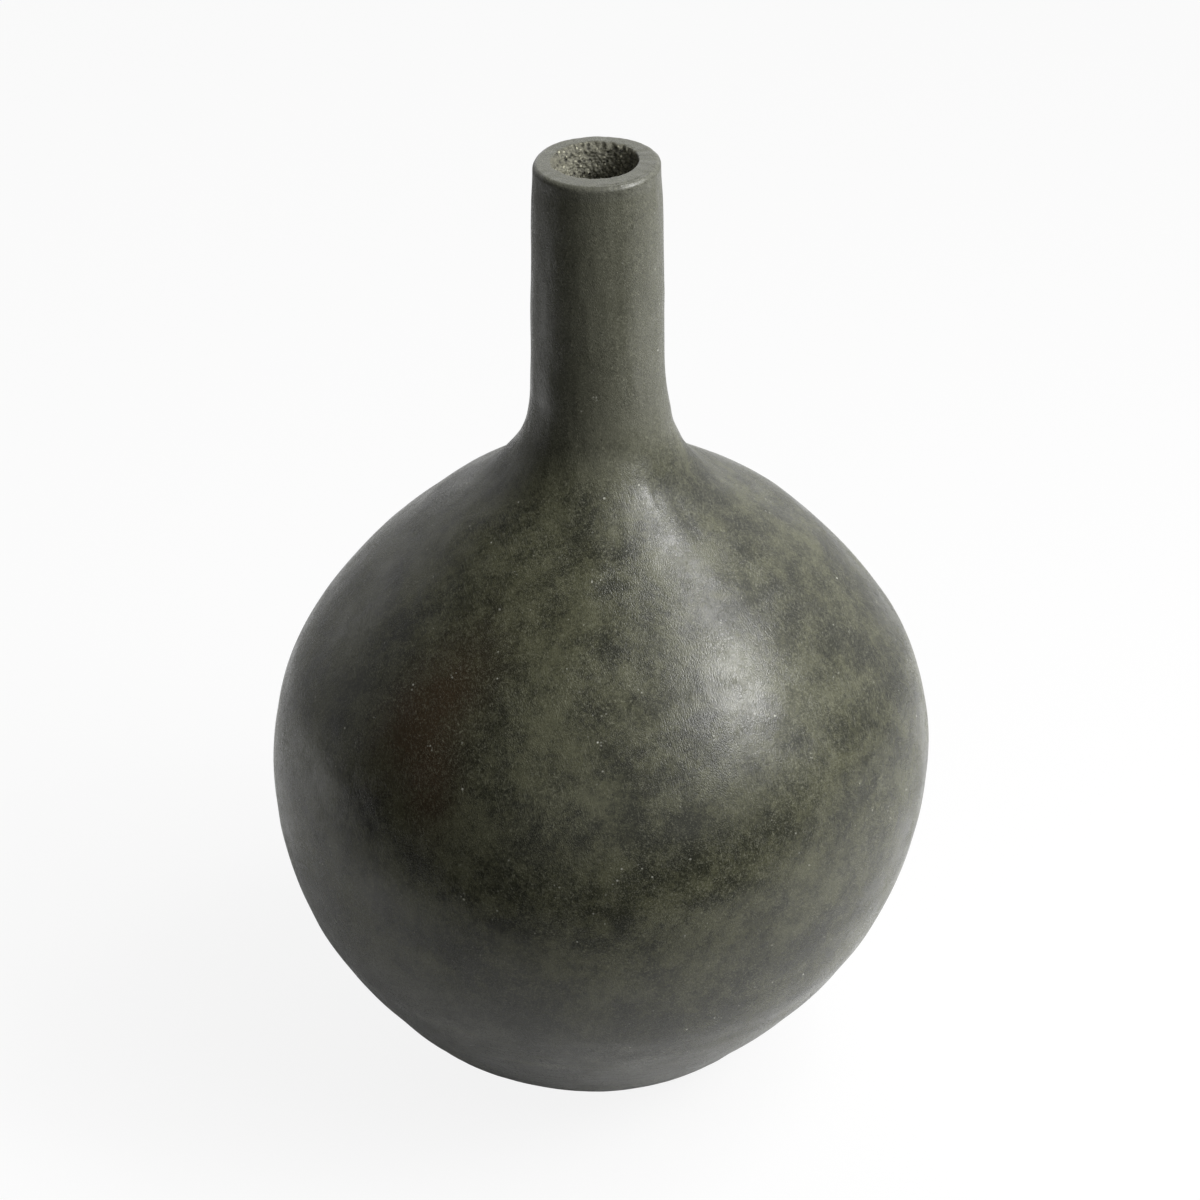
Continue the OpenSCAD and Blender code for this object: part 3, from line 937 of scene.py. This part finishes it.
# %% The bare lip, and the gloss: a smoothest value, and what makes it rougher
SMOOTHEST = 0.125
ROUGHER = [(mottled, 0.07), (dust_and_reflection, 0.08), (dull, 0.1), (scuffed, 0.3), (grains, 0.07), (bare, 0.5)]
rough_sand = place(tree, bare_plaster, spot)
colour = colour_mix(tree, bare, colour, rough_sand["Color"])
height = times_plus(tree, rough_sand["Height"], bare, height)
rough = SMOOTHEST
for mask, amount in ROUGHER:
    rough = times_plus(tree, mask, amount, rough)
tree.links.new(colour, shader["Base Color"])
tree.links.new(rough, shader["Roughness"])
relief(tree, shader, height)
print(f"{polished.name}: {len(tree.nodes)} nodes")

# %% [markdown]
# ## The plain plasters, the jute and the felt
#
# The cast plaster and the bonding plaster differ only in colour and roughness, so one function
# makes both. Jute and felt are matted fibres. Real strands would be thousands of curves, and
# these pieces are all but hidden, so they are strokes laid in three directions, of which the
# topmost one shows.

# %% The cast plaster and the bonding plaster
def plain_plaster(name, colour, roughness):
    """Bare plaster in one colour."""
    material, tree, shader, spot = new_material(name)
    sandy = place(tree, bare_plaster, spot, Color=colour)
    tree.links.new(sandy["Color"], shader["Base Color"])
    shader["Roughness"].default_value = roughness
    relief(tree, shader, sandy["Height"])
    return material


cast = plain_plaster("cast_plaster", CAST_COLOUR, 0.75)
bonding = plain_plaster("bonding_plaster", (0.24, 0.24, 0.20, 1), 0.85)

# %% The jute and the felt
fibres, ins, outs = new_group("fibres", [VECTOR, ("Width", "Float", 0.0004)], [("Mask", "Float")])
topmost = 0.0
for lean in [(0, 0, 0), (1.2, 0.4, 0), (0.3, 1.3, 0.5)]:
    laid = place(fibres, strokes, ins["Vector"], Lean=lean, Length=0.012, Width=ins["Width"])
    topmost = maths(fibres, "MAXIMUM", topmost, laid["Height"])
fibres.links.new(ramp(fibres, topmost, 0.4, 0.75), outs["Mask"])


def cloth(name, dark, tone_with_painted_shade, width, rise):
    """Matted fibres in two tones, which stand up by the given rise."""
    material, tree, shader, spot = new_material(name)
    fuzz = place(tree, fibres, spot, Width=width)["Mask"]
    tree.links.new(colour_mix(tree, fuzz, dark, tone_with_painted_shade), shader["Base Color"])
    shader["Roughness"].default_value = 0.95
    shader["Sheen Weight"].default_value = 0.3
    relief(tree, shader, times(tree, fuzz, rise))
    return material


jute = cloth("jute_scrim", (0.17, 0.12, 0.06, 1), (0.45, 0.35, 0.20, 1), 1.1 * MM, 0.8 * MM)
felt = cloth("felt", (0.012, 0.012, 0.012, 1), (0.045, 0.045, 0.045, 1), 0.3 * MM, 0.3 * MM)

# %% Give each piece its material
FINISHES = {
    polished: [coat],
    cast: [neck, core["lower_shell"], core["upper_shell"]],
    bonding: [core["seam_bond"], core["neck_cove"]],
    jute: [core["seam_scrim"]],
    felt: [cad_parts["felt_pads"]],
}
for material, pieces in FINISHES.items():
    for piece in pieces:
        piece.data.materials.clear()
        piece.data.materials.append(material)
    print(f"{material.name}: {', '.join(piece.name for piece in pieces)}")

# %% [markdown]
# ## The table and the camera
#
# The vase stands near the front edge of a white table, and the room before it is dark. A
# white sheet under everything would be simpler, but a polished vase would mirror it as one
# pale band. So the camera sees the table as plain white with the vase's shadow, while the vase
# mirrors the table's tone with painted shade: dark past the front edge and dimmer at the left.
#
# The camera's pitch, distance and lens are fitted to the outline and to the ellipse of the rim.

# %% The table
FLOOR_SIZE = 8.0
half = FLOOR_SIZE / 2
corners = [(x * half, y * half, 0) for x, y in ((-1, -1), (1, -1), (1, 1), (-1, 1))]
floor_mesh = bpy.data.meshes.new("table_top")
floor_mesh.from_pydata(corners, [], [(0, 1, 2, 3)])
floor = bpy.data.objects.new("table_top", floor_mesh)
bpy.context.scene.collection.objects.link(floor)

# %% The table's finish, whose front edge is where y + slope * x passes a value, with painted shade past that edge and at the left
WHITE_SHARE = 0.88
SEEN_WHITE = (0.9, 0.9, 0.9, 1)
TABLE_TONE = 0.88
EDGE_Y = -0.27
EDGE_SLOPE = 0.15
EDGE_SOFT = 0.16
LEFT_X = (-0.75, -0.2)
LEFT_PAINTED_SHADE = 0.45
table_white, tree, _, spot = new_material("white_table")
tree.nodes.remove(tree.nodes["Principled BSDF"])
across = add(tree, "VectorMath", {0: spot, 1: (EDGE_SLOPE, 1.0, 0.0)}, operation="DOT_PRODUCT")
# Painted shade: the tone that the vase mirrors goes dark past the front edge and dimmer at the left.
tone_with_painted_shade = ramp(tree, across.outputs["Value"], EDGE_Y - EDGE_SOFT, EDGE_Y + EDGE_SOFT, 0.0, TABLE_TONE)
sideways = add(tree, "SeparateXYZ", {0: spot}).outputs["X"]
tone_with_painted_shade = times(tree, tone_with_painted_shade, ramp(tree, sideways, *LEFT_X, LEFT_PAINTED_SHADE, 1.0))
grey = add(tree, "CombineColor", {"Red": tone_with_painted_shade, "Green": tone_with_painted_shade, "Blue": tone_with_painted_shade}).outputs[0]
seen = add(tree, "LightPath").outputs["Is Camera Ray"]
matt = add(tree, "BsdfDiffuse", {"Color": colour_mix(tree, seen, grey, SEEN_WHITE)}).outputs[0]
white = add(tree, "Emission", {"Color": (1, 1, 1, 1), "Strength": 1.0}).outputs[0]
both = add(tree, "MixShader", {0: times(tree, seen, WHITE_SHARE), 1: matt, 2: white}).outputs[0]
tree.links.new(both, tree.nodes["Material Output"].inputs["Surface"])
floor_mesh.materials.append(table_white)

# %% The camera
CAMERA_PITCH = math.radians(29.69)
CAMERA_DISTANCE = 2.2
FOCAL_PIXELS = 4867.5
PHOTO_PIXELS = 1200
AIM_H = 227.96 * MM
camera_data = bpy.data.cameras.new("camera")
camera_data.sensor_width = 36
camera_data.lens = FOCAL_PIXELS / PHOTO_PIXELS * camera_data.sensor_width
camera = bpy.data.objects.new("camera", camera_data)
aim = np.array([0, 0, FOOT_Z + AIM_H])
camera.location = aim + CAMERA_DISTANCE * np.array([0, -math.cos(CAMERA_PITCH), math.sin(CAMERA_PITCH)])
camera.rotation_euler = (math.pi / 2 - CAMERA_PITCH, 0, 0)
bpy.context.scene.collection.objects.link(camera)
bpy.context.scene.camera = camera
print(f"lens {camera_data.lens:.1f} mm at {CAMERA_DISTANCE} m")

# %% [markdown]
# ## The light
#
# A polished form mirrors its lamp, so the highlight has the lamp's shape. One big panel would
# give a plain oval, and the photograph shows a long soft streak that bends. So the lamp, to the
# right above the vase, is two leaning rows of small panels, each with a strength of its own. A
# card low at the left is the soft band on the left of the neck. The rest is the room: a halo
# around the lamp and soft glows on its walls.

# %% Directions and soft lamps
def direction(bearing, rise):
    """The unit vector with this bearing (0 towards the camera, growing to the right) and this rise,
    both in degrees: (sin b cos r, -cos b cos r, sin r)."""
    b, r = math.radians(bearing), math.radians(rise)
    return np.array([math.sin(b) * math.cos(r), -math.cos(b) * math.cos(r), math.sin(r)])


def soft_lamp(name, size, radiance):
    """A square lamp that the camera doesn't see, with a power of radiance * pi * size^2."""
    data = bpy.data.lights.new(name, "AREA")
    data.shape = "SQUARE"
    data.size = size
    data.energy = radiance * math.pi * size**2
    lamp = bpy.data.objects.new(name, data)
    lamp.visible_camera = False
    bpy.context.scene.collection.objects.link(lamp)
    return lamp


# %% The lamp, as panels with a bearing, a rise and a radiance
LAMP_FROM = np.array([0.06, -0.09, 0.24])
LAMP_DISTANCE = 1.25
LAMP_UP = direction(112, 64) - direction(60, 31)
PANEL = 0.22
PANELS = [
    (60, 31, 3.7),
    (68, 37, 14.8),
    (76, 43, 20.5),
    (86, 50, 5.5),
    (97, 57, 5.0),
    (110, 62, 15.5),
    (125, 66, 6.0),
    (46, 31, 3.0),
    (52, 38, 7.5),
    (60, 45, 3.0),
    (70, 53, 4.5),
    (82, 60, 4.5),
]
for bearing, rise, radiance in PANELS:
    back = direction(bearing, rise)
    side = np.cross(LAMP_UP, back)
    side /= np.linalg.norm(side)
    panel = soft_lamp(f"panel_{bearing}_{rise}", PANEL, radiance)
    panel.location = LAMP_FROM + LAMP_DISTANCE * back
    panel.rotation_euler = mathutils.Matrix(np.stack([side, np.cross(back, side), back], axis=1)).to_euler()
print(f"lamp: {len(PANELS)} panels, {sum(panel[2] for panel in PANELS) * math.pi * PANEL**2:.0f} W")

# %% The card, which faces up
CARD_AT = (-0.69, 0.17, 0.005)
CARD = 0.35
CARD_RADIANCE = 0.75
card = soft_lamp("card", CARD, CARD_RADIANCE)
card.location = CARD_AT
card.rotation_euler = (math.pi, 0, 0)

# %% The room, as glows with a bearing, a rise and a strength, and a halo with its edges too
GLOW_EDGE = 34
GLOW_CORE = 12
GLOWS = [
    (-180, 10, 0.95),
    (-150, 10, 0.46),
    (-120, 10, 0.34),
    (0, 10, 0.33),
    (45, 10, 0.64),
    (90, 10, 0.3),
    (135, 10, 0.68),
    (0, 45, 0.14),
    (45, 45, 0.16),
    (135, 45, 0.48),
    (180, 45, 0.35),
]
HALO = (76, 48, 42, 14, 1.35)
world = bpy.data.worlds.new("studio")
world.use_nodes = True
bpy.context.scene.world = world
tree = world.node_tree
tree.nodes.clear()
way = add(tree, "TexCoord").outputs["Generated"]
level = 0.0
wide_glows = [(bearing, rise, GLOW_EDGE, GLOW_CORE, strength) for bearing, rise, strength in GLOWS]
for bearing, rise, edge, core_edge, strength in [HALO, *wide_glows]:
    towards = tuple(direction(bearing, rise))
    nearness = add(tree, "VectorMath", {0: way, 1: towards}, operation="DOT_PRODUCT").outputs["Value"]
    low, high = math.cos(math.radians(edge)), math.cos(math.radians(core_edge))
    level = maths(tree, "ADD", ramp(tree, nearness, low, high, 0.0, strength), level)

# %% Plain white for the camera, and the room for everything else
room = add(tree, "Background", {"Color": (1, 1, 1, 1), "Strength": level}).outputs[0]
white = add(tree, "Background", {"Color": (1, 1, 1, 1), "Strength": 1.0}).outputs[0]
path = add(tree, "LightPath").outputs
seen = maths(tree, "MAXIMUM", path["Is Camera Ray"], path["Is Transmission Ray"])
both = add(tree, "MixShader", {0: seen, 1: room, 2: white}).outputs[0]
tree.links.new(both, add(tree, "OutputWorld").inputs["Surface"])
bpy.context.scene.view_settings.view_transform = "Standard"
